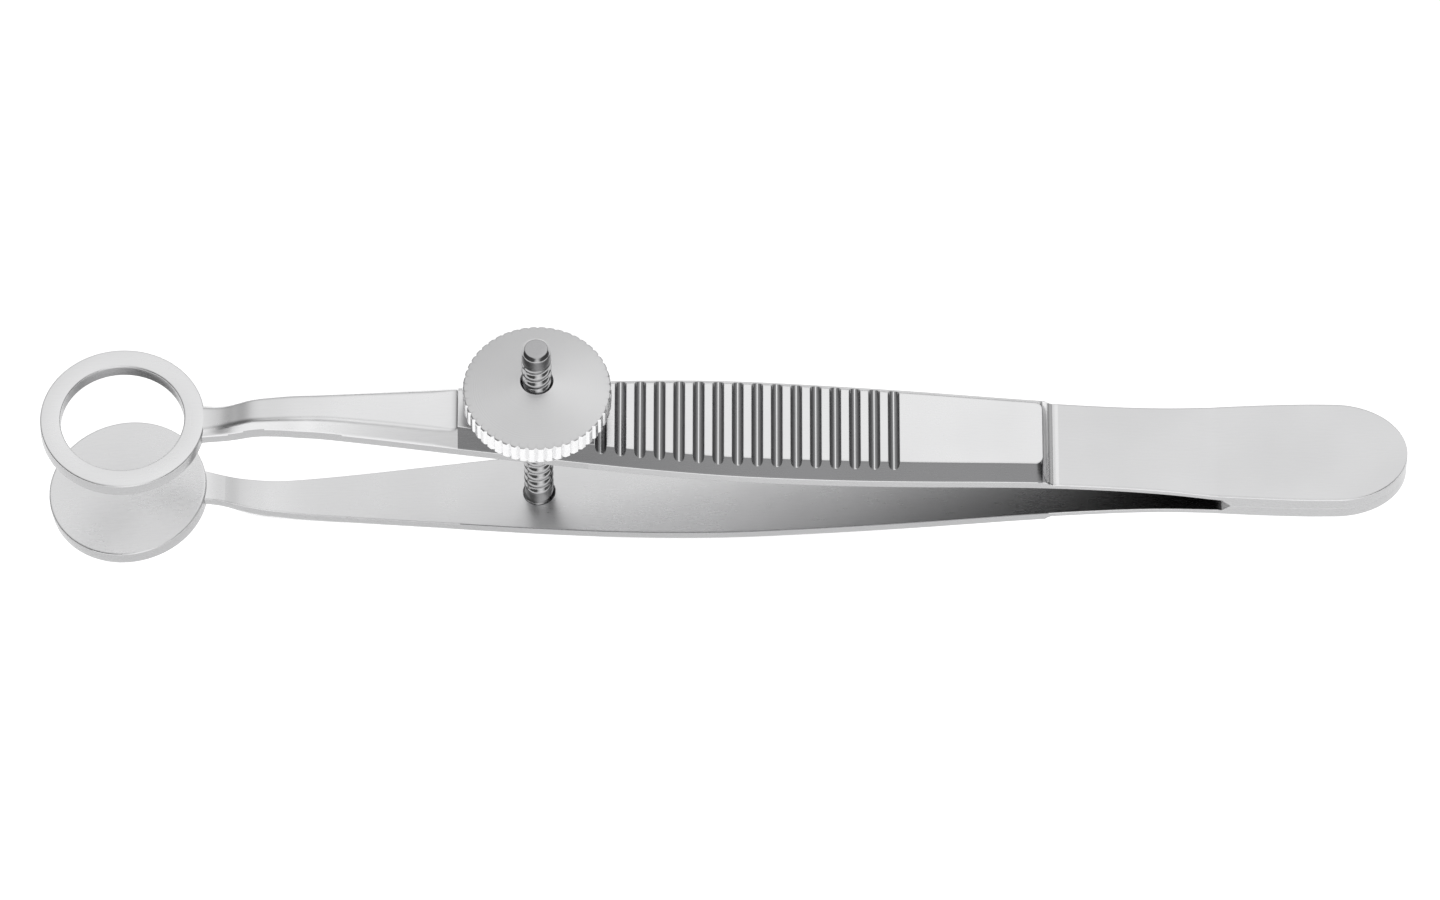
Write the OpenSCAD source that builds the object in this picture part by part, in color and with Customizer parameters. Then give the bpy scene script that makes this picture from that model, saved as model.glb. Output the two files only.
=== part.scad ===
// Screw clamp forceps for the eyelid: two sprung arms welded at the tail, a ring jaw over
// a plate jaw, and a knurled thumb nut on a threaded post that closes them.
// +X runs from the ring to the tail, +Z from the plate to the ring. The origin lies under the
// middle of the object, at the height of the surface that it rests on.

/* [Overall] */
// Nominal length; the ring's front edge stops 0.2 mm short of it
length = 90; // [86:1:96]
// Angle that each arm turns through from rest until the jaws meet
close_angle = 3.08; // [2.8:0.02:3.3]

/* [Jaws] */
// Outer diameter of the ring
ring_d = 10.8; // [10.6:0.1:11.4]
// Diameter of the ring's opening
ring_bore_d = 8.1; // [7.4:0.1:8.4]
// Diameter of the solid plate
plate_d = 10.5; // [10.2:0.1:11]
// Thickness of the ring and of the plate
jaw_t = 1.05; // [0.9:0.05:1.2]
// Height of the ring's lower face above the middle plane
ring_z = 3.75; // [3.65:0.05:3.85]

/* [Arms] */
// Thickness of the thin spring blades near the tail
blade_t = 0.46; // [0.42:0.02:0.54]
// Thickness of an arm along the grip and the shank
arm_t = 1.68; // [1.6:0.04:1.8]
// Height of the square edge beside an arm's inner face
edge_h = 0.65; // [0.5:0.05:0.7]

/* [Grip] */
// Number of finger grooves across each grip
groove_count = 16; // [12:1:16]
// Distance from one groove to the next
groove_pitch = 1.28; // [1.2:0.02:1.3]
// Radius of a groove's rounded floor
groove_r = 0.36; // [0.3:0.02:0.4]

/* [Post and nut] */
// Outer diameter of the thread on the post
post_d = 1.95; // [1.85:0.05:2]
// Distance that the nut moves in one turn
thread_pitch = 0.84; // [0.8:0.02:0.9]
// Depth of the thread
thread_depth = 0.2; // [0.16:0.02:0.22]
// Diameter of the thumb nut over its knurl
nut_d = 9.72; // [9.4:0.02:10]
// Height of the nut's knurled rim
nut_rim_h = 1.5; // [1.2:0.1:1.8]
// Rise of the nut's conical face above its rim
nut_cone_h = 0.85; // [0.6:0.05:1.1]
// Number of knurl teeth round the rim
knurl_count = 50; // [40:1:60]

/* [Hidden] */

// Places along the length, in millimetres on a 90 mm instrument
stretch = length / 90;
jaw_x = -39.42 * stretch;               // centre of the ring and of the plate
post_x = -12.2 * stretch;               // axis of the post
pad_front_x = -17.4 * stretch;          // front end of the raised grip
pad_back_x = 20.9 * stretch;            // back end of the raised grip
pivot_x = 28 * stretch;                 // where each blade bends
slot_x = 33.3 * stretch;                // root of the slot between the arms
tail_round_x = 40.2 * stretch;          // where the tail's rounded end begins
groove_x = -8.05 * stretch;             // first finger groove
neck_x = jaw_x + 4.45;                  // where an arm's neck runs into its jaw

// Tables of [x, value] along an arm, read with smooth()
neck_rise = [[-31, 4.25], [-30, 4.45], [-28, 4.58], [-24, 4.47], [-18, 4.17], [-12, 3.87],
             [-6, 3.5], [0, 3.05], [8, 2.42], [20, 1.58], [28, 0.93], [32.6, 0.56]];
ring_inner = concat([[-35, 3.76], [-34, 3.76], [-33, 3.79], [-32, 3.95]], neck_rise);
plate_inner = concat([[-35, 3.06], [-34, 3.24], [-33, 3.58], [-32, 3.97]], neck_rise);
ring_share = [[-35, 0.62], [-34, 0.62], [-33, 0.72], [-32, 0.86], [-31, 0.92], [-30, 0.9],
              [-28, 0.94], [-25, 1], [30, 1]];
plate_share = [[-35, 0.62], [-34, 0.74], [-32, 0.9], [-30, 0.93], [-28, 0.96], [-25, 1], [30, 1]];
grip_width = [[-26.6, 1.5], [-24, 1.75], [-18, 2.36], [-12, 2.96], [-6, 3.46], [0, 3.75],
              [6, 3.75], [12, 3.6], [20, 3.28], [25, 3.21], [29, 3.3], [33, 3.58], [38, 3.8],
              [41, 3.8]];
ring_half_w = concat([[-35, 1.42], [-34, 1.27], [-33, 1.2], [-31, 1.18], [-29.2, 1.3],
                      [-28, 1.42]], grip_width);
plate_half_w = concat([[-35, 1.22], [-34, 1.09], [-33, 1.03], [-31.2, 1.12], [-29.2, 1.25],
                       [-28, 1.37]], grip_width);
// An arm is its three tables: inner face, share of the full thickness, half width
ring_tables = [ring_inner, ring_share, ring_half_w];
plate_tables = [plate_inner, plate_share, plate_half_w];
side_run = [[-35, 1.3], [-34, 1.2], [-33, 0.86], [-32, 0.54], [-31, 0.42], [-29.2, 0.5],
            [-28, 0.58], [-26, 0.63], [-22, 0.74], [-17, 0.82], [-12, 0.85], [30, 0.86]];
tail_half_t = [[32, 1.06], [35, 1.06], [38, 1.03], [45, 1]];

// Grip plane: height above the middle plane at x = 0, and its fall towards the tail
pad_z0 = 4.75;
pad_fall = 0.0735;
step_front = 0.5;                       // length of the hollow rise at the grip's front
step_back = 0.75;                       // length of the hollow drop at the grip's back
edge_break = 0.08;                      // bevel along the blade's and the tail's edges

// Hinge knuckle that stands for the bend of a blade
knuckle_gap = 0.02;
pivot_z = smooth(ring_inner, 28) + blade_t / 2;

// Plate jaw
plate_tilt = 2 * close_angle;           // tilt at rest, so that it meets the ring flat
plate_z = -3.53;                        // its upper face at the centre

// Post
post_r = post_d / 2;
post_foot_z = -4.05;                    // seat of the foot in the lower arm
post_top_z = 13;
foot_r = post_r + 0.09;
foot_h = 0.28;
tenon_r = 0.75;
tenon_head_r = 1.25;
thread_low_z = -3;
thread_high_z = 11.9;
thread_facets = 20;
rings_per_pitch = 6;
thread_clearance = 0.08;
smooth_r = post_r - 0.03;               // unthreaded ends of the post

// Nut and its collar
nut_z = 6.92;                           // underside of the nut's rim
nut_top_z = nut_z + nut_rim_h;
nut_r = nut_d / 2;
collar_r = 2.1;
collar_bore_r = post_r + 0.09;
collar_foot_r = 1.4;                    // flat ring that bears on the arm
collar_z = pad_z(post_x - collar_foot_r) + 0.035;
knurl_cut_r = 0.2;

// Slot in the upper arm that the post passes through
slot_half_w = post_r + 0.22;
slot_front = 0.25;                      // extra length towards the ring
slot_back = 0.55;                       // extra length towards the tail

// Weld seam round the tail
weld_w = 0.25;
weld_h = 0.3;
weld_start_x = slot_x + 0.5;

floor_z = max([for (x = [-30:0.25:-17]) arm_out(ring_tables, x * stretch)]);
steel = "gainsboro";
bright = "silver";

// Index of the table interval that holds x
function interval(t, x, i = 0) = i >= len(t) - 2 || x < t[i + 1][0] ? i : interval(t, x, i + 1);
function rise(t, i, j) = (t[j][1] - t[i][1]) / (t[j][0] - t[i][0]);
function tangent(t, i) = rise(t, max(i - 1, 0), min(i + 1, len(t) - 1));
// Cubic curve through a table's points
function smooth(t, x) =
    let (i = interval(t, x), h = t[i + 1][0] - t[i][0], u = (x - t[i][0]) / h,
         m0 = tangent(t, i) * h, m1 = tangent(t, i + 1) * h)
    (2 * u * u * u - 3 * u * u + 1) * t[i][1] + (u * u * u - 2 * u * u + u) * m0
    + (3 * u * u - 2 * u * u * u) * t[i + 1][1] + (u * u * u - u * u) * m1;

// Quarter-round hollow: 1 at u = 0, level at 0 from u = 1
function hollow(u) = u >= 1 ? 0 : u <= 0 ? 1 : 1 - sqrt(1 - (1 - u) * (1 - u));

function pad_z(x) = pad_z0 - pad_fall * x / stretch;
function inner_z(t, x) = smooth(t[0], x / stretch);
function shank_z(t, x) = inner_z(t, x) + arm_t * smooth(t[1], x / stretch);
function blade_z(t, x) = inner_z(t, x) + blade_t;
// Outer face of an arm: shank, raised grip with its two hollow ends, then blade
function arm_out(t, x) =
    x < pad_front_x ? shank_z(t, x)
        + hollow((pad_front_x - x) / step_front) * (pad_z(x) - shank_z(t, x))
    : x <= pad_back_x ? pad_z(x)
    : blade_z(t, x) + hollow((x - pad_back_x) / step_back) * (pad_z(x) - blade_z(t, x));
function tail_out(x) =
    x < 32 * stretch ? blade_z(ring_tables, x) : smooth(tail_half_t, x / stretch);
// Inner face of a tail half: the slot, its pointed root, then the joint plane
function tail_in(x) =
    let (gap = 0.58, point = (slot_x - x) / gap)
    point >= 1 ? inner_z(ring_tables, x) : max(point, 0) * gap;
function half_w(t, x) =
    x <= tail_round_x ? smooth(t[2], x / stretch)
    : let (u = (x - tail_round_x) / (length / 2 - tail_round_x))
      smooth(t[2], tail_round_x / stretch) * sqrt(max(1 - u * u, 0.0016));

// Cross-section of an arm: flat inner face, square edge, then a side that slopes to the outer face
function section(t, x, z_in, z_out) =
    let (thick = z_out - z_in, side_h = x > slot_x - 0.6 ? arm_t : edge_h,
         e = min(side_h, thick - edge_break), w = half_w(t, x),
         full = arm_t - edge_h, lean = smooth(side_run, x / stretch),
         wo = w - min(w / 2, max(edge_break, lean * (thick - e) / full)))
    [[x, -w, z_in], [x, w, z_in], [x, w, z_in + e], [x, wo, z_out], [x, -wo, z_out],
     [x, -w, z_in + e]];

// Closed solid through a row of cross-sections. Each has the same number of points, listed
// anticlockwise as seen from the far end
module skin(sections) {
    n = len(sections[0]);
    rows = len(sections);
    sides = [for (i = [0:rows - 2], j = [0:n - 1])
        let (a = i * n + j, b = i * n + (j + 1) % n) each [[a, b + n, b], [a, a + n, b + n]]];
    near = [for (j = [0:n - 1]) j];
    far = [for (j = [n - 1:-1:0]) (rows - 1) * n + j];
    polyhedron([for (s = sections) each s], concat([near], sides, [far]), convexity = 6);
}

// Cylinder across the arms
module cross_bar(x, z, r, w) {
    translate([x, 0, z]) rotate([90, 0, 0]) cylinder(r = r, h = w, center = true, $fn = 48);
}

// Long body of an arm from its neck to the bend of its blade, above the middle plane
module arm_body(t) {
    xs = concat([for (x = [neck_x:0.5:-27]) x], [for (x = [-26:2:-19]) x * stretch],
        [for (k = [5:-1:0]) pad_front_x - step_front * k / 5],
        [for (k = [1:15]) pad_front_x + (pad_back_x - pad_front_x) * k / 15],
        [for (k = [1:6]) pad_back_x + step_back * k * k / 36],
        [for (k = [1:4]) pad_back_x + step_back + (pivot_x - pad_back_x - step_back) * k / 4]);
    difference() {
        union() {
            skin([for (x = xs) section(t, x, inner_z(t, x), arm_out(t, x))]);
            cross_bar(pivot_x, pivot_z, blade_t / 2 - 0.005, 2 * half_w(t, pivot_x) - 0.04);
        }
        for (k = [0:groove_count - 1]) {
            x = groove_x + k * groove_pitch;
            cross_bar(x, pad_z(x) - 0.08, groove_r, 9);
        }
    }
}

module ring_arm() {
    color(steel) difference() {
        union() {
            arm_body(ring_tables);
            translate([jaw_x, 0, ring_z]) cylinder(d = ring_d, h = jaw_t, $fn = 96);
        }
        translate([jaw_x, 0, ring_z - 1]) cylinder(d = ring_bore_d, h = jaw_t + 2, $fn = 96);
        for (dx = [-slot_front, slot_back])
            translate([post_x + dx, 0, 0]) cylinder(r = slot_half_w, h = 9, $fn = 48);
        translate([post_x - slot_front, -slot_half_w, 0])
            cube([slot_front + slot_back, 2 * slot_half_w, 9]);
    }
}

module plate_arm() {
    color(steel) difference() {
        union() {
            mirror([0, 0, 1]) arm_body(plate_tables);
            translate([jaw_x, 0, plate_z]) rotate([0, -plate_tilt, 0]) translate([0, 0, -jaw_t])
                cylinder(d = plate_d, h = jaw_t, $fn = 96);
        }
        translate([post_x, 0, -9]) cylinder(r = tenon_r, h = 9, $fn = 48);
        translate([post_x, 0, post_foot_z]) cylinder(r = foot_r + 0.03, h = 3, $fn = 48);
        translate([post_x, 0, tenon_head_z() - 1]) cylinder(r = tenon_head_r, h = 1.4, $fn = 48);
    }
}

// Height of the outer end of the peened head, just inside the lower arm's grip face
function tenon_head_z() = -pad_z(post_x) + 0.1;

// One half of the tail, from the bend of its blade to the rounded end
module tail_half() {
    end_x = length / 2;
    xs = concat([for (k = [0:4]) pivot_x + (slot_x - 0.58 - pivot_x) * k / 4],
        [slot_x, weld_start_x], [for (k = [1:5]) weld_start_x + (tail_round_x - weld_start_x) * k / 5],
        [for (a = [15:15:75]) tail_round_x + (end_x - tail_round_x) * sin(a)], [end_x]);
    difference() {
        skin([for (x = xs) section(ring_tables, x, tail_in(x), tail_out(x))]);
        cross_bar(pivot_x, pivot_z, blade_t / 2 + knuckle_gap, 9);
        weld_seam();
    }
}

module upper_tail() { color(steel) tail_half(); }
module lower_tail() { color(steel) mirror([0, 0, 1]) tail_half(); }

// Outline of the tail behind the slot, drawn in by a margin
function tail_outline(margin) =
    let (end_x = length / 2,
         xs = concat([for (k = [0:5]) weld_start_x + (tail_round_x - weld_start_x) * k / 5],
             [for (a = [15:15:75]) tail_round_x + (end_x - tail_round_x) * sin(a)], [end_x]),
         pull = function (x) min(x, end_x - margin),
         near = [for (x = xs) [pull(x), -max(half_w(ring_tables, x) - margin, 0.05)]],
         far = [for (p = near) [p[0], -p[1]]])
    concat(near, [for (i = [len(far) - 1:-1:0]) far[i]]);

module weld_seam() {
    translate([0, 0, -weld_h / 2]) linear_extrude(weld_h) difference() {
        polygon(tail_outline(0));
        polygon(tail_outline(weld_w));
        translate([weld_start_x - 1, -3]) square([1.001, 6]);
    }
}

module tail_weld() { color(bright) weld_seam(); }

// Thread surface as rings of points; extra widens it for the nut's bore
module thread(low, high, extra) {
    step = thread_pitch / rings_per_pitch;
    count = round((high - low) / step);
    root = post_r - thread_depth + extra;
    fade = function (z) extra > 0 ? 1 : min(1, (z - low) / thread_pitch, (high - z) / thread_pitch);
    skin([for (i = [0:count]) let (z = low + (high - low) * i / count)
        [for (k = [0:thread_facets - 1]) let (a = 360 * k / thread_facets,
            crest = (1 + cos(360 * z / thread_pitch - a)) / 2,
            r = root + thread_depth * crest * fade(z))
            [r * cos(a), r * sin(a), z]]]);
}

module screw_post() {
    foot = post_foot_z;
    cap = 0.35;
    color(bright) translate([post_x, 0, 0]) union() {
        thread(thread_low_z, thread_high_z, 0);
        rotate_extrude($fn = 48) polygon([[0, tenon_head_z()], [tenon_head_r, tenon_head_z()],
            [tenon_head_r, tenon_head_z() + 0.3], [tenon_r, tenon_head_z() + 0.3], [tenon_r, foot],
            [foot_r, foot], [foot_r, foot + 0.1], [smooth_r, foot + foot_h],
            [smooth_r, thread_low_z + 0.2], [0, thread_low_z + 0.2]]);
        rotate_extrude($fn = 48) polygon([[0, thread_high_z - 0.2], [smooth_r, thread_high_z - 0.2],
            [smooth_r, post_top_z - cap], [smooth_r - 0.1, post_top_z - 0.15],
            [smooth_r - 0.3, post_top_z - 0.04], [0, post_top_z]]);
    }
}

module nut_collar() {
    rise = 0.15;
    top = nut_z - 0.01;
    color(bright) translate([post_x, 0, 0]) rotate_extrude($fn = 64)
        polygon([[collar_bore_r, collar_z], [collar_foot_r, collar_z], [collar_r, collar_z + rise],
            [collar_r, top], [collar_bore_r, top]]);
}

module thumb_nut() {
    edge = 0.14;
    eye_r = 1.35;
    color(bright) translate([post_x, 0, 0]) difference() {
        rotate_extrude($fn = 96) polygon([[0, nut_z], [nut_r - edge, nut_z], [nut_r, nut_z + edge],
            [nut_r, nut_top_z - edge], [nut_r - edge, nut_top_z],
            [eye_r, nut_top_z + nut_cone_h], [0, nut_top_z + nut_cone_h]]);
        thread(nut_z - 0.3, nut_top_z + nut_cone_h + 0.3, thread_clearance);
        for (k = [0:knurl_count - 1])
            rotate([0, 0, 360 * (k + 0.5) / knurl_count]) translate([nut_r + 0.02, 0, nut_z - 1])
                cylinder(r = knurl_cut_r, h = nut_rim_h + 2, $fn = 4);
    }
}

translate([0, 0, floor_z]) {
    upper_tail();
    lower_tail();
    tail_weld();
    ring_arm();
    plate_arm();
    screw_post();
    nut_collar();
    thumb_nut();
}
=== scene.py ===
"""Looks of the eyelid clamp forceps: satin steel arms, a ring jaw over a plate jaw, a threaded
post and a knurled thumb nut. Lengths are in millimetres until a mesh is made, then metres."""

import math

import bpy
import numpy as np
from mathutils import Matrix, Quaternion, Vector


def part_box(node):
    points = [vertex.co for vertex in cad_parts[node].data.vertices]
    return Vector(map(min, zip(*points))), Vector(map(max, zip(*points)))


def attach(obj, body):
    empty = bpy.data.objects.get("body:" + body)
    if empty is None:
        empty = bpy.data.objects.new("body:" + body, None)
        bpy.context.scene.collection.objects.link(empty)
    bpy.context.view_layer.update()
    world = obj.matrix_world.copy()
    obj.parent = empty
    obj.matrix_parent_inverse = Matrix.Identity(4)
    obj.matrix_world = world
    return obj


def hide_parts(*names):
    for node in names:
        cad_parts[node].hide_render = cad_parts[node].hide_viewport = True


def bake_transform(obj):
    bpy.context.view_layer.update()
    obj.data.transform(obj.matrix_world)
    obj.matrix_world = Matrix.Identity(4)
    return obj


MM = 0.001

# ---------------------------------------------------------------- sizes shared with the CAD
LENGTH = 90.0
RING_D, RING_BORE_D, PLATE_D, JAW_T = 10.8, 8.1, 10.5, 1.05
RING_Z, PLATE_Z = 3.75, -3.53          # ring's lower face, plate's upper face
CLOSE_ANGLE = 3.08
BLADE_T, ARM_T, EDGE_H, EDGE_BREAK = 0.46, 1.68, 0.65, 0.08
GROOVE_COUNT, GROOVE_X, GROOVE_PITCH, GROOVE_R = 16, -8.05, 1.28, 0.36
POST_R, THREAD_PITCH, THREAD_DEPTH = 0.975, 0.84, 0.2
NUT_R, NUT_Z, NUT_RIM_H, NUT_CONE_H, KNURLS = 4.86, 6.92, 1.5, 0.85, 50
JAW_X = -39.42
POST_X = -12.2
PAD_FRONT_X, PAD_BACK_X = -17.4, 20.9
STEP_FRONT, STEP_BACK = 0.5, 0.75
SLOT_X, TAIL_ROUND_X = 33.3, 40.2
NECK_X = JAW_X + 4.45
PAD_Z0, PAD_FALL = 4.75, 0.0735
POST_FOOT_Z, POST_TOP_Z = -4.05, 13.0
FOOT_R, FOOT_H, TENON_R, TENON_HEAD_R = POST_R + 0.09, 0.28, 0.75, 1.25
THREAD_LOW_Z, THREAD_HIGH_Z = -3.0, 11.9
COLLAR_R, COLLAR_FOOT_R, COLLAR_BORE_R = 2.1, 1.4, POST_R + 0.09
SLOT_HALF_W, SLOT_FRONT, SLOT_BACK = POST_R + 0.22, 0.25, 0.55

NECK_RISE = [(-31, 4.25), (-30, 4.45), (-28, 4.58), (-24, 4.47), (-18, 4.17), (-12, 3.87),
             (-6, 3.5), (0, 3.05), (8, 2.42), (20, 1.58), (28, 0.93), (32.6, 0.56)]
RING_INNER = [(-35, 3.76), (-34, 3.76), (-33, 3.79), (-32, 3.95)] + NECK_RISE
PLATE_INNER = [(-35, 3.06), (-34, 3.24), (-33, 3.58), (-32, 3.97)] + NECK_RISE
RING_SHARE = [(-35, 0.62), (-34, 0.62), (-33, 0.72), (-32, 0.86), (-31, 0.92), (-30, 0.9),
              (-28, 0.94), (-25, 1), (30, 1)]
PLATE_SHARE = [(-35, 0.62), (-34, 0.74), (-32, 0.9), (-30, 0.93), (-28, 0.96), (-25, 1), (30, 1)]
GRIP_WIDTH = [(-26.6, 1.5), (-24, 1.75), (-18, 2.36), (-12, 2.96), (-6, 3.46), (0, 3.75),
              (6, 3.75), (12, 3.6), (20, 3.28), (25, 3.21), (29, 3.3), (33, 3.58), (38, 3.8),
              (41, 3.8)]
RING_HALF_W = [(-35, 1.42), (-34, 1.27), (-33, 1.2), (-31, 1.18), (-29.2, 1.3),
               (-28, 1.42)] + GRIP_WIDTH
PLATE_HALF_W = [(-35, 1.22), (-34, 1.09), (-33, 1.03), (-31.2, 1.12), (-29.2, 1.25),
                (-28, 1.37)] + GRIP_WIDTH
SIDE_RUN = [(-35, 1.3), (-34, 1.2), (-33, 0.86), (-32, 0.54), (-31, 0.42), (-29.2, 0.5),
            (-28, 0.58), (-26, 0.63), (-22, 0.74), (-17, 0.82), (-12, 0.85), (30, 0.86)]
CORNER_R = 0.45                        # rounding of the grip's back corners, seen from above
SLOT_POINT = 0.58                      # length of the slot's pointed root
PIVOT_Z = 1.16                         # height of a blade's hinge from the middle plane
JAW_ROUND = 0.13                       # rounding of the jaws' edges
GRIP_END_X = 12.0                      # end of the grooved part of the grip
TAIL_HALF_T = [(32, 1.06), (35, 1.06), (38, 1.03), (45, 1)]

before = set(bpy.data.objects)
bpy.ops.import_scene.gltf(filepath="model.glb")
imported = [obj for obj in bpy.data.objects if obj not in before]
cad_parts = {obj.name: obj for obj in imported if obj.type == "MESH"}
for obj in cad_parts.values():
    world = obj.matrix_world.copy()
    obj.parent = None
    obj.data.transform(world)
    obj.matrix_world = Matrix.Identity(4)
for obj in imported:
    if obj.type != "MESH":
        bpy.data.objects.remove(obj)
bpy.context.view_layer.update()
MID_Z = (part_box("upper_tail")[1].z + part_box("lower_tail")[0].z) / 2 / MM


# ---------------------------------------------------------------- shape functions
def smooth(table, x):
    """Cubic curve through a table's points, the same as the CAD's."""
    xs = [p[0] for p in table]
    i = max(0, min(len(table) - 2, int(np.searchsorted(xs, x, side="right")) - 1))

    def slope(k):
        a, b = max(k - 1, 0), min(k + 1, len(table) - 1)
        return (table[b][1] - table[a][1]) / (table[b][0] - table[a][0])

    h = table[i + 1][0] - table[i][0]
    u = (x - table[i][0]) / h
    return ((2 * u**3 - 3 * u**2 + 1) * table[i][1] + (u**3 - 2 * u**2 + u) * slope(i) * h
            + (3 * u**2 - 2 * u**3) * table[i + 1][1] + (u**3 - u**2) * slope(i + 1) * h)


def hollow(u):
    if u >= 1:
        return 0.0
    return 1.0 if u <= 0 else 1 - math.sqrt(1 - (1 - u) ** 2)


def pad_z(x):
    return PAD_Z0 - PAD_FALL * x


def groove_profile():
    """Offsets and depths across one finger groove, with rounded lips."""
    pts = [(GROOVE_R * math.sin(math.radians(a)), 0.08 + GROOVE_R * math.cos(math.radians(a)))
           for a in range(-78, 79, 12)]
    edge_x, edge_d = pts[-1]
    lip = []
    for u in (0.25, 0.5, 0.75, 1.0):
        lip.append(((1 - u) ** 2 * edge_x + 2 * u * (1 - u) * 0.36 + u * u * 0.4,
                    (1 - u) ** 2 * edge_d))
    return [(-x, d) for x, d in reversed(lip)] + pts + lip


GROOVE = groove_profile()


def groove_depth(x):
    k = round((x - GROOVE_X) / GROOVE_PITCH)
    if not 0 <= k < GROOVE_COUNT:
        return 0.0
    dx = x - GROOVE_X - k * GROOVE_PITCH
    return float(np.interp(dx, [p[0] for p in GROOVE], [p[1] for p in GROOVE], 0, 0))


class Arm:
    """One half of the instrument, described above the middle plane."""

    def __init__(self, inner, share, half):
        self.inner, self.share, self.half = inner, share, half

    def half_w(self, x):
        if x <= TAIL_ROUND_X:
            return smooth(self.half, x)
        u = (x - TAIL_ROUND_X) / (LENGTH / 2 - TAIL_ROUND_X)
        return smooth(self.half, TAIL_ROUND_X) * math.sqrt(max(1 - u * u, 0.0009))

    def z_in(self, x):
        point = (SLOT_X - x) / SLOT_POINT
        return smooth(self.inner, x) if point >= 1 else max(point, 0) * SLOT_POINT

    def shank_z(self, x):
        return smooth(self.inner, x) + ARM_T * smooth(self.share, x)

    def blade_z(self, x):
        return smooth(TAIL_HALF_T, x) if x >= 32 else smooth(self.inner, x) + BLADE_T

    def land_z(self, x):
        """Outer face without the grooves."""
        if x < PAD_FRONT_X:
            step = hollow((PAD_FRONT_X - x) / STEP_FRONT)
            return self.shank_z(x) + step * (pad_z(x) - self.shank_z(x))
        if x <= PAD_BACK_X:
            return pad_z(x)
        u = (x - PAD_BACK_X) / STEP_BACK
        step = hollow(u)
        scratch = 0.045 * max(0.0, 1 - abs(u - 1.0) / 0.16)
        return self.blade_z(x) - scratch + step * (pad_z(x) - self.blade_z(x))

    def z_out(self, x):
        return self.land_z(x) - groove_depth(x)


UPPER = Arm(RING_INNER, RING_SHARE, RING_HALF_W)
LOWER = Arm(PLATE_INNER, PLATE_SHARE, PLATE_HALF_W)


def corner(a, c, b, r, n):
    """Rounds the corner c of the line a-c-b, starting r from it on both sides."""
    a, c, b = Vector(a), Vector(c), Vector(b)
    la, lb = (a - c).length, (b - c).length
    p = c + (a - c) * (min(r, 0.45 * la) / max(la, 1e-6))
    q = c + (b - c) * (min(r, 0.45 * lb) / max(lb, 1e-6))
    return [tuple(p * (1 - u) ** 2 + c * (2 * u * (1 - u)) + q * u * u)
            for u in (k / n for k in range(n + 1))]


def half_section(arm, x):
    """Half of a cross-section as (y, z), from the middle of the inner face to the outer one's."""
    w, z0, land = arm.half_w(x), arm.z_in(x), arm.land_z(x)
    z1 = min(arm.z_out(x), land)
    thick = land - z0
    e = min(ARM_T if x > SLOT_X - 0.6 else EDGE_H, thick - EDGE_BREAK)
    lean = smooth(SIDE_RUN, x)
    wo = w - min(w / 2, max(EDGE_BREAK, lean * (thick - e) / (ARM_T - EDGE_H)))
    if PAD_BACK_X - CORNER_R < x <= PAD_BACK_X:
        wo -= CORNER_R * (1 - math.sqrt(1 - ((x - PAD_BACK_X) / CORNER_R + 1) ** 2))
    cut = (z1 - z0 - e) / max(thick - e, 1e-6)
    y1 = w - (w - wo) * min(max(cut, 0.0), 1.0)
    z1 = max(z1, z0 + e + 0.02)
    shank = min(max((PAD_FRONT_X - x) / 1.5, 0.0), 1.0)
    top_r = 0.06 if land - arm.z_out(x) > 0.02 else 0.09 + 0.16 * shank
    low_r = 0.02 if x > SLOT_X - 0.6 else 0.07
    p = [(0, z0), (w, z0), (w, z0 + e), (y1, z1), (0, z1)]
    low = corner(p[0], p[1], p[2], low_r, 4)
    edge = corner(p[1], p[2], p[3], 0.08 + 0.1 * shank, 4)
    top = corner(p[2], p[3], p[4], top_r, 5)
    a, b = low[0], top[-1]
    mid = [tuple(Vector(edge[-1]).lerp(Vector(top[0]), u)) for u in (0.08, 0.5, 0.92)]
    return ([(a[0] * u, z0) for u in (0.0, 0.5, 0.93, 0.98)] + low + edge + mid + top
            + [(b[0] * u, z1) for u in (0.98, 0.93, 0.5, 0.0)])


def stations():
    """Places along the length where the cross-section is taken."""
    xs = list(np.arange(NECK_X, -29.5, 0.1)) + list(np.arange(-29.5, PAD_FRONT_X - STEP_FRONT, 0.3))
    xs += [PAD_FRONT_X - STEP_FRONT * (k / 14) ** 1.6 for k in range(14, -1, -1)]
    xs += list(np.arange(PAD_FRONT_X + 0.02, GROOVE_X - 0.5, 0.5)) + [GROOVE_X - 0.46]
    for k in range(GROOVE_COUNT):
        c = GROOVE_X + k * GROOVE_PITCH
        xs += [c + dx for dx, _ in GROOVE]
        xs += [c + 0.44, c + GROOVE_PITCH / 2, c + GROOVE_PITCH - 0.44]
    xs += list(np.arange(12.3, PAD_BACK_X - 0.5, 0.6))
    xs += [PAD_BACK_X - CORNER_R * (1 - math.sin(math.radians(a))) for a in range(0, 91, 10)]
    xs += [PAD_BACK_X + STEP_BACK * 1.25 * (k / 22) ** 1.7 for k in range(23)]
    xs += list(np.arange(22.0, SLOT_X - SLOT_POINT, 0.35))
    xs += [SLOT_X - SLOT_POINT, SLOT_X - SLOT_POINT / 2, SLOT_X, SLOT_X + 0.05]
    xs += list(np.arange(SLOT_X + 0.5, TAIL_ROUND_X, 0.5))
    end = LENGTH / 2
    xs += [TAIL_ROUND_X + (end - TAIL_ROUND_X) * math.sin(math.radians(a))
           for a in np.arange(0, 87, 3)] + [end - 0.003]
    xs = sorted(xs)
    return [x for x, prev in zip(xs, [None] + xs) if prev is None or x - prev > 0.004]


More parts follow.
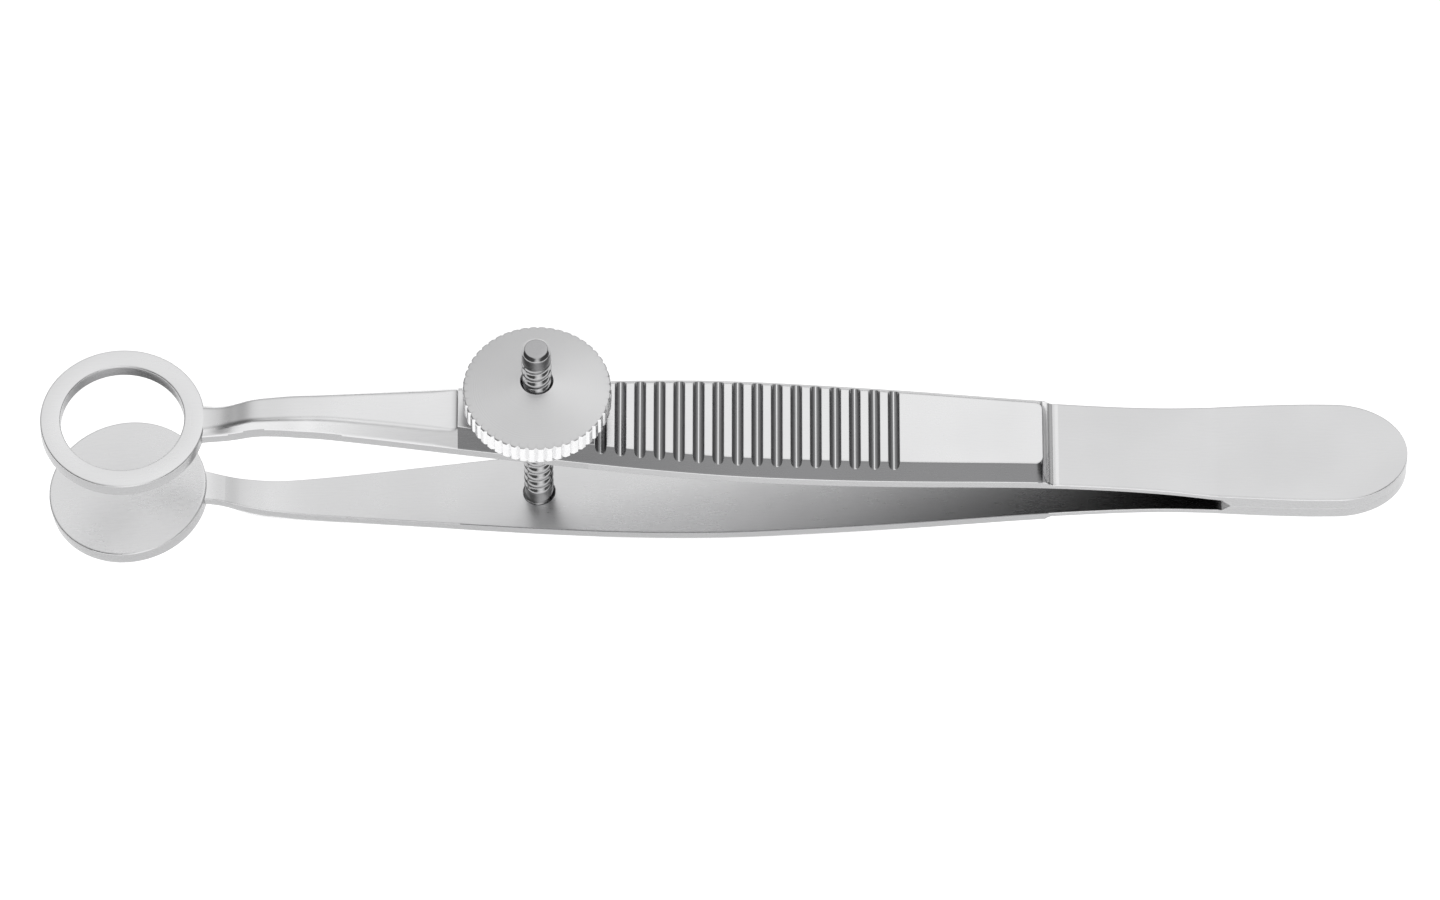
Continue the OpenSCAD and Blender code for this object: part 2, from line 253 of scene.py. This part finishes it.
# ---------------------------------------------------------------- mesh helpers
def new_object(name, verts, faces):
    """verts are in millimetres from the middle plane."""
    v = np.array(verts, float)
    v[:, 2] += MID_Z
    mesh = bpy.data.meshes.new(name)
    mesh.from_pydata((v * MM).tolist(), [], faces)
    mesh.validate()
    mesh.update()
    obj = bpy.data.objects.new(name, mesh)
    bpy.context.scene.collection.objects.link(obj)
    return obj


def loft(rows, flip=False):
    """Closed skin through rows of points that each make a loop, with flat caps."""
    n, m = len(rows[0]), len(rows)
    verts = [p for row in rows for p in row]
    faces = [(i * n + j, i * n + (j + 1) % n, (i + 1) * n + (j + 1) % n, (i + 1) * n + j)
             for i in range(m - 1) for j in range(n)]
    faces += [tuple(range(n - 1, -1, -1)), tuple((m - 1) * n + j for j in range(n))]
    if flip:
        faces = [tuple(reversed(f)) for f in faces]
    return verts, faces


def merge(*parts):
    verts, faces = [], []
    for v, f in parts:
        faces += [tuple(i + len(verts) for i in face) for face in f]
        verts += list(v)
    return verts, faces


def join(a, b):
    """Adds b's mesh to a's."""
    va = np.array([v.co for v in a.data.vertices])
    fa = [tuple(p.vertices) for p in a.data.polygons]
    vb = np.array([v.co for v in b.data.vertices])
    fb = [tuple(i + len(va) for i in p.vertices) for p in b.data.polygons]
    mesh = bpy.data.meshes.new(a.name)
    mesh.from_pydata(np.vstack([va, vb]).tolist(), [], fa + fb)
    mesh.update()
    a.data = mesh
    bpy.data.objects.remove(b)


def arm_skin(arm, side):
    rows = []
    for x in stations():
        half = half_section(arm, x)
        loop = [(x, y, z) for y, z in half] + [(x, -y, z) for y, z in reversed(half[1:-1])]
        rows.append([(px, py, side * pz) for px, py, pz in loop])
    return loft(rows, flip=side < 0)


def lathe(profile, cx, cz, columns, place=None):
    """Turns a closed profile of (r, z) round a vertical axis at x = cx."""
    n, m = len(profile), columns
    verts = []
    for k in range(m):
        a = 2 * math.pi * k / m
        for r, z in profile:
            verts.append((cx + r * math.cos(a), r * math.sin(a), cz + z))
    if place:
        verts = [place(v) for v in verts]
    faces = [(k * n + j, ((k + 1) % m) * n + j, ((k + 1) % m) * n + (j + 1) % n,
              k * n + (j + 1) % n) for k in range(m) for j in range(n)]
    return verts, faces


def rounded(points, r, n=4):
    """A closed outline with every corner rounded."""
    out = []
    for i, p in enumerate(points):
        out += corner(points[i - 1], p, points[(i + 1) % len(points)], r, n)
    return out


def rounded_disc(radius, thick, r):
    """Closed outline, axis included, of a disc whose upper face is at z = 0."""
    rim = (corner((0, -thick), (radius, -thick), (radius, 0), r, 5)
           + corner((radius, -thick), (radius, 0), (0, 0), r, 5))
    support = [(radius * 0.5, -thick), (radius - 1.6 * r, -thick)]
    face = [(radius - 1.6 * r, 0), (radius * 0.5, 0), (0.0001, 0)]
    return [(0.0001, -thick)] + support + rim + face


def cutter(name, verts, faces):
    obj = new_object(name, verts, faces)
    obj.hide_render = True
    return obj


def prism(outline, z0, z1):
    """Upright solid over an outline of (x, y) points."""
    rows = [[(x, y, z) for x, y in outline] for z in (z0, z1)]
    return loft(rows, flip=False)


def circle(cx, r, n):
    return [(cx + r * math.cos(2 * math.pi * k / n), r * math.sin(2 * math.pi * k / n))
            for k in range(n)]


def oval(cx, r, front, back, n):
    """Outline of a slot along X."""
    pts = []
    for k in range(n):
        a = 2 * math.pi * (k + 0.5) / n
        shift = back if math.cos(a) > 0 else -front
        pts.append((cx + shift + r * math.cos(a), r * math.sin(a)))
    return pts


def cut_with(obj, cutters):
    for c in cutters:
        mod = obj.modifiers.new("cut", "BOOLEAN")
        mod.operation, mod.solver, mod.object = "DIFFERENCE", "EXACT", c
    dg = bpy.context.evaluated_depsgraph_get()
    mesh = bpy.data.meshes.new_from_object(obj.evaluated_get(dg))
    obj.modifiers.clear()
    obj.data = mesh
    for c in cutters:
        bpy.data.objects.remove(c)


def shade(obj, angle=32):
    obj.data.polygons.foreach_set("use_smooth", [True] * len(obj.data.polygons))
    obj.data.set_sharp_from_angle(angle=math.radians(angle))
    obj.data.update()


# ---------------------------------------------------------------- materials
def node(tree, kind, **inputs):
    n = tree.nodes.new(kind)
    for key, value in inputs.items():
        n.inputs[key.replace("_", " ")].default_value = value
    return n


# painted shade along the arms' inner faces: grey levels from full tone down to dark at the slot's
# root
INNER_SHADE_FADE = [(0.0, 1.0), (0.26, 0.96), (0.46, 0.84), (0.6, 0.7), (0.74, 0.55), (0.87, 0.32),
              (1.0, 0.22)]


def steel(name, base, rough, grain_scale, grain_bump, turned=False, aniso=0.0, painted_shade=False):
    """Satin or turned steel: fine grain in tone and surface, and soft marks in the gloss, and, where
    asked, painted shade darkening towards the slot's root.
    """
    mat = bpy.data.materials.new(name)
    mat.use_nodes = True
    tree = mat.node_tree
    bsdf = tree.nodes["Principled BSDF"]
    bsdf.inputs["Metallic"].default_value = 1.0
    if aniso:
        bsdf.inputs["Anisotropic"].default_value = aniso
    coord = tree.nodes.new("ShaderNodeTexCoord")
    source = coord.outputs["Object"]
    if turned:
        # rings round the axis: distance from it, drawn out along the height
        flat = node(tree, "ShaderNodeMapping", Scale=(1, 1, 0))
        tree.links.new(source, flat.inputs["Vector"])
        length = tree.nodes.new("ShaderNodeVectorMath")
        length.operation = "LENGTH"
        tree.links.new(flat.outputs["Vector"], length.inputs[0])
        place = tree.nodes.new("ShaderNodeCombineXYZ")
        tree.links.new(length.outputs["Value"], place.inputs["X"])
        source = place.outputs["Vector"]
        tangent = tree.nodes.new("ShaderNodeTangent")
        tangent.direction_type, tangent.axis = "RADIAL", "Z"
        tree.links.new(tangent.outputs["Tangent"], bsdf.inputs["Tangent"])
    mapping = node(tree, "ShaderNodeMapping", Scale=grain_scale)
    tree.links.new(source, mapping.inputs["Vector"])
    grain = node(tree, "ShaderNodeTexNoise", Scale=1.0, Detail=3.0, Roughness=0.6)
    tree.links.new(mapping.outputs["Vector"], grain.inputs["Vector"])
    marks = node(tree, "ShaderNodeTexNoise", Scale=180.0, Detail=2.0)
    tree.links.new(coord.outputs["Object"], marks.inputs["Vector"])
    mixed = tree.nodes.new("ShaderNodeMath")
    mixed.operation = "ADD"
    tree.links.new(grain.outputs["Fac"], mixed.inputs[0])
    tree.links.new(marks.outputs["Fac"], mixed.inputs[1])
    gloss = node(tree, "ShaderNodeMapRange", From_Min=0.7, From_Max=1.3, To_Min=rough - 0.05,
                 To_Max=rough + 0.05)
    tree.links.new(mixed.outputs["Value"], gloss.inputs["Value"])
    tree.links.new(gloss.outputs["Result"], bsdf.inputs["Roughness"])
    ramp = tree.nodes.new("ShaderNodeValToRGB")
    ramp.color_ramp.elements[0].position, ramp.color_ramp.elements[1].position = 0.35, 0.65
    ramp.color_ramp.elements[0].color = (*[c * 0.965 for c in base], 1)
    ramp.color_ramp.elements[1].color = (*base, 1)
    tree.links.new(grain.outputs["Fac"], ramp.inputs["Fac"])
    colour = ramp.outputs["Color"]
    if painted_shade:
        # painted shade: the tone itself darkens towards the slot's root, where shade falls between
        # the arms, on top of what the light does
        split = tree.nodes.new("ShaderNodeSeparateXYZ")
        tree.links.new(coord.outputs["Object"], split.inputs["Vector"])
        reach = node(tree, "ShaderNodeMapRange", From_Min=-0.014, From_Max=0.034)
        tree.links.new(split.outputs["X"], reach.inputs["Value"])
        fade = tree.nodes.new("ShaderNodeValToRGB")
        for at, grey in INNER_SHADE_FADE:
            stop = fade.color_ramp.elements[0] if at == 0 else (
                fade.color_ramp.elements[-1] if at == 1 else fade.color_ramp.elements.new(at))
            stop.color = (grey, grey, grey, 1)
        tree.links.new(reach.outputs["Result"], fade.inputs["Fac"])
        mix = tree.nodes.new("ShaderNodeMix")
        mix.data_type, mix.blend_type = "RGBA", "MULTIPLY"
        mix.inputs["Factor"].default_value = 1.0
        tree.links.new(colour, mix.inputs["A"])
        tree.links.new(fade.outputs["Color"], mix.inputs["B"])
        colour = mix.outputs["Result"]
    tree.links.new(colour, bsdf.inputs["Base Color"])
    bump = node(tree, "ShaderNodeBump", Strength=grain_bump, Distance=0.00002)
    tree.links.new(grain.outputs["Fac"], bump.inputs["Height"])
    tree.links.new(bump.outputs["Normal"], bsdf.inputs["Normal"])
    return mat


# painted shade: darker copies of the arm's steel for the edges, sides, tail, slopes and grooves,
# standing in for how light falls on each kind of face
EDGE_SHADE_STEEL = steel("edge_shade_steel", (0.46, 0.46, 0.465), 0.28, (900, 9000, 9000), 0.15)
SIDE_SHADE_STEEL = steel("side_shade_steel", (0.5, 0.5, 0.505), 0.28, (900, 9000, 9000), 0.15)
TAIL_SHADE_STEEL = steel("tail_shade_steel", (0.68, 0.68, 0.685), 0.34, (900, 9000, 9000), 0.06)
SLOPE_SHADE_STEEL = steel("slope_shade_steel", (0.27, 0.27, 0.275), 0.26, (900, 9000, 9000), 0.12)
ARM_STEEL = steel("arm_steel", (0.76, 0.76, 0.765), 0.3, (900, 9000, 9000), 0.12)
GROOVE_SHADE_STEEL = steel("groove_shade_steel", (0.27, 0.27, 0.275), 0.3, (9000, 2500, 9000), 0.3)
# the arms' inner faces, with painted shade darkening towards the slot's root
INNER_SHADE_STEEL = steel("inner_shade_steel", (0.7, 0.7, 0.705), 0.3, (900, 9000, 9000), 0.12, painted_shade=True)
POST_STEEL = steel("post_steel", (0.42, 0.42, 0.425), 0.14, (6000, 6000, 9000), 0.08)
NUT_STEEL = steel("nut_steel", (0.74, 0.74, 0.745), 0.36, (14000, 1, 1), 0.35, turned=True,
                  aniso=0.75)
RIM_STEEL = steel("rim_steel", (0.86, 0.86, 0.865), 0.26, (9000, 9000, 2000), 0.1)


def finish_piece(obj, material, body=None):
    obj.data.materials.clear()
    obj.data.materials.append(material)
    shade(obj)
    if body:
        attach(obj, body)


# ---------------------------------------------------------------- arms and jaws
def jaw_place(tilt_deg, z):
    """Tilts a jaw about its own middle and lifts it into place."""
    c, s = math.cos(math.radians(tilt_deg)), math.sin(math.radians(tilt_deg))

    def place(v):
        x, y, h = v[0] - JAW_X, v[1], v[2]
        return (JAW_X + x * c - h * s, y, z + x * s + h * c)

    return place


def make_ring():
    outer, bore = RING_D / 2, RING_BORE_D / 2
    out = rounded([(bore, 0), (outer, 0), (outer, JAW_T), (bore, JAW_T)], JAW_ROUND, 4)
    return lathe(out, JAW_X, RING_Z, 160)


def make_plate():
    return lathe(rounded_disc(PLATE_D / 2, JAW_T, JAW_ROUND), JAW_X, 0, 160,
                 jaw_place(2 * CLOSE_ANGLE, PLATE_Z))


upper = new_object("upper_half", *merge(arm_skin(UPPER, 1)))
cut_with(upper, [
    cutter("slot", *prism(oval(POST_X, SLOT_HALF_W, SLOT_FRONT, SLOT_BACK, 48), 1, 9)),
    cutter("bore", *prism(circle(JAW_X, RING_BORE_D / 2 + 0.2, 96), 1, 9))])
ring = new_object("ring", *make_ring())
lower = new_object("lower_half", *arm_skin(LOWER, -1))
head_z = -pad_z(POST_X) + 0.1
cut_with(lower, [
    cutter("tenon", *prism(circle(POST_X, TENON_R, 32), -9, 0)),
    cutter("foot", *prism(circle(POST_X, FOOT_R + 0.03, 48), POST_FOOT_Z, 0)),
    cutter("head", *prism(circle(POST_X, TENON_HEAD_R, 48), head_z - 1, head_z + 0.4))])
plate = new_object("plate", *make_plate())
join(upper, ring)
join(lower, plate)


def dress_arm(obj, is_upper):
    """Gives each kind of face on an arm its own tone of steel: painted shade, darker copies of the
    arm's steel on its edges, sides, slopes, grooves and tail, standing in for how light falls on
    each.
    """
    for material in (GROOVE_SHADE_STEEL, INNER_SHADE_STEEL, EDGE_SHADE_STEEL, SIDE_SHADE_STEEL, SLOPE_SHADE_STEEL, TAIL_SHADE_STEEL):
        obj.data.materials.append(material)
    groove, inner, edge, side, slope, tail = range(1, 7)
    sign = 1 if is_upper else -1
    for poly in obj.data.polygons:
        x, z = poly.center.x / MM, sign * (poly.center.z / MM - MID_Z)
        upright = abs(poly.normal.z) < 0.35
        jaw = math.hypot(x - JAW_X, poly.center.y / MM) < RING_D / 2 + 0.01
        # painted shade: upright faces get the darker edge and side steels
        if upright and (jaw or x < (GROOVE_X - 1 if is_upper else PAD_BACK_X + 1)):
            poly.material_index = edge
        elif upright:
            poly.material_index = side
        # painted shade: the pad's sloped sides and the tail's top get darker steels
        elif PAD_FRONT_X < x < PAD_BACK_X + 0.5 and 0.45 < abs(poly.normal.y) < 0.9:
            poly.material_index = slope
        elif x > PAD_BACK_X + 1.2 and poly.normal.z * sign > 0.7:
            poly.material_index = tail
        # painted shade: the grooves' walls get the darkest steel, as shade in the recesses
        elif (GROOVE_X - 0.5 < x < GRIP_END_X and z < pad_z(x) - 0.045
              and abs(poly.normal.x) > 0.02 + PAD_FALL):
            poly.material_index = groove
        # painted shade: inner faces get the steel that darkens towards the slot's root
        elif x > NECK_X + 2 and poly.normal.z * sign < -0.9 and x < SLOT_X + 0.1:
            poly.material_index = inner


for obj, node_names, body, z in ((upper, ("ring_arm", "upper_tail"), "upper_arm", PIVOT_Z),
                                 (lower, ("plate_arm", "lower_tail"), "lower_arm", -PIVOT_Z)):
    finish_piece(obj, ARM_STEEL)
    dress_arm(obj, z > 0)
    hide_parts(*node_names)
    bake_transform(obj)


# ---------------------------------------------------------------- weld line round the tail
def make_weld():
    xs = [x for x in stations() if x > SLOT_X + 0.5]
    rim = [(x, -UPPER.half_w(x)) for x in xs]
    rim += [(x, -y) for x, y in reversed(rim)]
    pts = np.array(rim)
    centre = np.array([38.0, 0.0])
    reach = np.maximum(np.linalg.norm(pts - centre, axis=1), 1)
    inner = centre + (pts - centre) * (1 - 0.25 / reach)[:, None]
    outer = centre + (pts - centre) * (1 - 0.015 / reach)[:, None]
    rows = [[(i[0], i[1], -0.06), (o[0], o[1], -0.06), (o[0], o[1], 0.06), (i[0], i[1], 0.06)]
            for i, o in zip(inner, outer)]
    return loft(rows)


weld = new_object("weld_line", *make_weld())
finish_piece(weld, RIM_STEEL, "tail")
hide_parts("tail_weld")


# ---------------------------------------------------------------- post
def make_thread():
    columns, per_pitch = 56, 18
    count = round((THREAD_HIGH_Z - THREAD_LOW_Z) / THREAD_PITCH * per_pitch)
    rows = []
    for i in range(count + 1):
        z = THREAD_LOW_Z + (THREAD_HIGH_Z - THREAD_LOW_Z) * i / count
        run_out = 0.4 * THREAD_PITCH
        fade = min(1, (z - THREAD_LOW_Z) / run_out, (THREAD_HIGH_Z - z) / run_out)
        row = []
        for k in range(columns):
            a = 2 * math.pi * k / columns
            crest = ((1 + math.cos(2 * math.pi * z / THREAD_PITCH - a)) / 2) ** 0.8
            r = POST_R - THREAD_DEPTH * (1 - crest) * max(fade, 0)
            row.append((POST_X + r * math.cos(a), r * math.sin(a), z))
        rows.append(row)
    return loft(rows)


def make_post_ends():
    neck_r = POST_R - 0.03
    foot = ([(0.001, head_z), (TENON_HEAD_R - 0.1, head_z), (TENON_HEAD_R, head_z + 0.08),
             (TENON_HEAD_R, head_z + 0.3), (TENON_R, head_z + 0.3), (TENON_R, POST_FOOT_Z)]
            + corner((TENON_R, POST_FOOT_Z), (FOOT_R, POST_FOOT_Z), (FOOT_R, POST_FOOT_Z + 0.2),
                     0.03, 3)
            + [(FOOT_R, POST_FOOT_Z + 0.1), (FOOT_R - 0.04, POST_FOOT_Z + 0.16),
               (neck_r + 0.01, POST_FOOT_Z + FOOT_H), (neck_r, POST_FOOT_Z + FOOT_H + 0.1)]
            + corner((neck_r, -4), (neck_r, THREAD_LOW_Z + 0.25), (0, THREAD_LOW_Z + 0.3), 0.05, 3)
            + [(0.001, THREAD_LOW_Z + 0.3)])
    tip = ([(0.001, THREAD_HIGH_Z - 0.25)]
           + corner((0, THREAD_HIGH_Z - 0.25), (neck_r, THREAD_HIGH_Z - 0.25), (neck_r, POST_TOP_Z),
                    0.05, 3)
           + corner((neck_r, 12), (neck_r, POST_TOP_Z - 0.24), (neck_r - 0.2, POST_TOP_Z), 0.06, 4)
           + corner((neck_r, POST_TOP_Z - 0.24), (neck_r - 0.2, POST_TOP_Z), (0, POST_TOP_Z), 0.04, 4)
           + [(0.3, POST_TOP_Z), (0.001, POST_TOP_Z)])
    return merge(lathe(foot, POST_X, 0, 64), lathe(tip, POST_X, 0, 64))


post = new_object("post", *merge(make_thread(), make_post_ends()))
finish_piece(post, POST_STEEL, "lower_arm")
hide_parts("screw_post")


# ---------------------------------------------------------------- hub and thumb nut
def on_axis(obj):
    """Puts the object's origin on the post's axis, for rings in its material."""
    shift = Vector((POST_X * MM, 0, (MID_Z + NUT_Z) * MM))
    for v in obj.data.vertices:
        v.co -= shift
    obj.location = shift
    return obj


collar_z = pad_z(POST_X - COLLAR_FOOT_R) + 0.035
hub = on_axis(new_object("hub", *lathe(rounded(
    [(COLLAR_BORE_R, collar_z), (COLLAR_FOOT_R, collar_z), (COLLAR_R, collar_z + 0.15),
     (COLLAR_R, NUT_Z - 0.01), (COLLAR_BORE_R, NUT_Z - 0.01)], 0.05, 3), POST_X, 0, 96)))
finish_piece(hub, RIM_STEEL, "nut_hub")
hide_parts("nut_collar")


def make_nut():
    """Knurled disc with a low cone on top and a sunk eye round the post."""
    top = NUT_Z + NUT_RIM_H
    bore, eye = POST_R + 0.04, POST_R + 0.12
    e = 0.12
    rim = (corner((1, NUT_Z), (NUT_R, NUT_Z), (NUT_R, top), e, 4)
           + [(NUT_R, NUT_Z + 0.3), (NUT_R, top - 0.3)]
           + corner((NUT_R, NUT_Z), (NUT_R, top), (bore, top + NUT_CONE_H), e, 4))
    slope = NUT_CONE_H / (NUT_R - eye)
    face = [(r, top + (NUT_R - r) * slope) for r in (4.7, 4.4, 3.8, 3.0, 2.2, 1.6, eye + 0.08)]
    face += [(eye, top + NUT_CONE_H), (eye - 0.03, top + NUT_CONE_H - 0.03),
             (bore + 0.02, top + NUT_CONE_H - 0.2), (bore, top + NUT_CONE_H - 0.3)]
    profile = [(bore, NUT_Z + 0.1), (bore + 0.1, NUT_Z), (2.2, NUT_Z), (4.5, NUT_Z)] + rim + face
    n, per = len(profile), 14
    m = KNURLS * per
    verts = []
    for k in range(m):
        a = 2 * math.pi * k / m
        u = abs((k / per) % 1 - 0.5) * 2          # 0 in a notch, 1 in the middle of a tooth
        notch = 0.16 * max(0.0, 1 - u / 0.5) ** 0.8
        for r, z in profile:
            rr = min(r, NUT_R - notch)
            verts.append((POST_X + rr * math.cos(a), rr * math.sin(a), z))
    faces = [(k * n + j, ((k + 1) % m) * n + j, ((k + 1) % m) * n + (j + 1) % n,
              k * n + (j + 1) % n) for k in range(m) for j in range(n)]
    return verts, faces


nut = on_axis(new_object("thumb_nut_disc", *make_nut()))
finish_piece(nut, NUT_STEEL, "nut")
nut.data.materials.append(RIM_STEEL)
for poly in nut.data.polygons:
    if abs(poly.normal.z) < 0.6:
        poly.material_index = 1
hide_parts("thumb_nut")


# ---------------------------------------------------------------- floor, light, camera
def make_floor():
    mesh = bpy.data.meshes.new("floor")
    s, z = 3.0, -0.0002
    mesh.from_pydata([(-s, -s, z), (s, -s, z), (s, s, z), (-s, s, z)], [], [(0, 1, 2, 3)])
    obj = bpy.data.objects.new("floor", mesh)
    bpy.context.scene.collection.objects.link(obj)
    mat = bpy.data.materials.new("floor")
    mat.use_nodes = True
    bsdf = mat.node_tree.nodes["Principled BSDF"]
    bsdf.inputs["Base Color"].default_value = (0.6, 0.6, 0.6, 1)
    bsdf.inputs["Roughness"].default_value = 0.9
    bsdf.inputs["Specular IOR Level"].default_value = 0.0
    bsdf.inputs["Emission Color"].default_value = (1, 1, 1, 1)
    bsdf.inputs["Emission Strength"].default_value = 0.8
    obj.data.materials.append(mat)


KEY_GLOW = [(0.0, 0.06), (0.4, 0.1), (0.6, 0.26), (0.76, 0.54), (0.88, 0.74), (0.96, 0.84),
            (1.0, 0.9)]
TOP_GLOW = [(0.0, 0.0), (0.82, 0.02), (0.92, 0.6), (1.0, 0.95)]
FRONT_GLOW = [(0.0, 0.0), (0.86, 0.02), (0.94, 0.75), (1.0, 1.25)]


def make_world():
    """A big soft light overhead and behind, darker at the sides, with a low glow in front."""
    world = bpy.data.worlds.new("studio")
    bpy.context.scene.world = world
    world.use_nodes = True
    tree = world.node_tree
    back = tree.nodes["Background"]
    coord = tree.nodes.new("ShaderNodeTexCoord")

    def glow(direction, stops):
        dot = tree.nodes.new("ShaderNodeVectorMath")
        dot.operation = "DOT_PRODUCT"
        dot.inputs[1].default_value = Vector(direction).normalized()
        tree.links.new(coord.outputs["Generated"], dot.inputs[0])
        ramp = tree.nodes.new("ShaderNodeValToRGB")
        ramp.color_ramp.interpolation = "EASE"
        for k, (at, grey) in enumerate(stops):
            elements = ramp.color_ramp.elements
            if 0 < k < len(stops) - 1:
                stop = elements.new(at)
            else:
                stop = elements[0] if k == 0 else elements[-1]
            stop.position, stop.color = at, (grey, grey, grey, 1)
        tree.links.new(dot.outputs["Value"], ramp.inputs["Fac"])
        return ramp.outputs["Color"]

    def add(a, b):
        total = tree.nodes.new("ShaderNodeMix")
        total.data_type, total.blend_type = "RGBA", "ADD"
        total.inputs["Factor"].default_value = 1.0
        tree.links.new(a, total.inputs["A"])
        tree.links.new(b, total.inputs["B"])
        return total.outputs["Result"]

    front = add(glow((0.1, -0.99, 0.0), FRONT_GLOW), glow((0.15, -0.6, 0.8), TOP_GLOW))
    tree.links.new(add(glow((0.06, 0.52, 0.85), KEY_GLOW), front), back.inputs["Color"])
    back.inputs["Strength"].default_value = 1.15


def area_light(name, place, aim, size, power):
    light = bpy.data.lights.new(name, "AREA")
    light.shape, light.size, light.energy = "SQUARE", size, power
    obj = bpy.data.objects.new(name, light)
    obj.location = place
    obj.rotation_euler = (Vector(aim) - Vector(place)).to_track_quat("-Z", "Y").to_euler()
    bpy.context.scene.collection.objects.link(obj)


def make_camera():
    az, el, roll, distance = 0.0, math.radians(56.5), math.radians(0.1), 0.75
    view_width = 94.7368 * MM              # width of the view at the target
    target = Vector((-0.247, 0, MID_Z + 1.125)) * MM
    back = Vector((math.sin(az) * math.cos(el), -math.cos(az) * math.cos(el), math.sin(el)))
    data = bpy.data.cameras.new("camera")
    data.sensor_width = 36
    data.lens = data.sensor_width * distance / view_width
    data.clip_start, data.clip_end = 0.01, 20
    cam = bpy.data.objects.new("camera", data)
    cam.location = target + back * distance
    cam.rotation_mode = "QUATERNION"
    aim = (-back).to_track_quat("-Z", "Y")
    cam.rotation_quaternion = aim @ Quaternion((0, 0, 1), roll)
    bpy.context.scene.collection.objects.link(cam)
    bpy.context.scene.camera = cam


make_floor()
make_world()
area_light("key", (0.3, 0.35, 0.7), (0, 0, 0.01), 0.6, 0.12)
make_camera()
bpy.context.scene.view_settings.view_transform = "Standard"
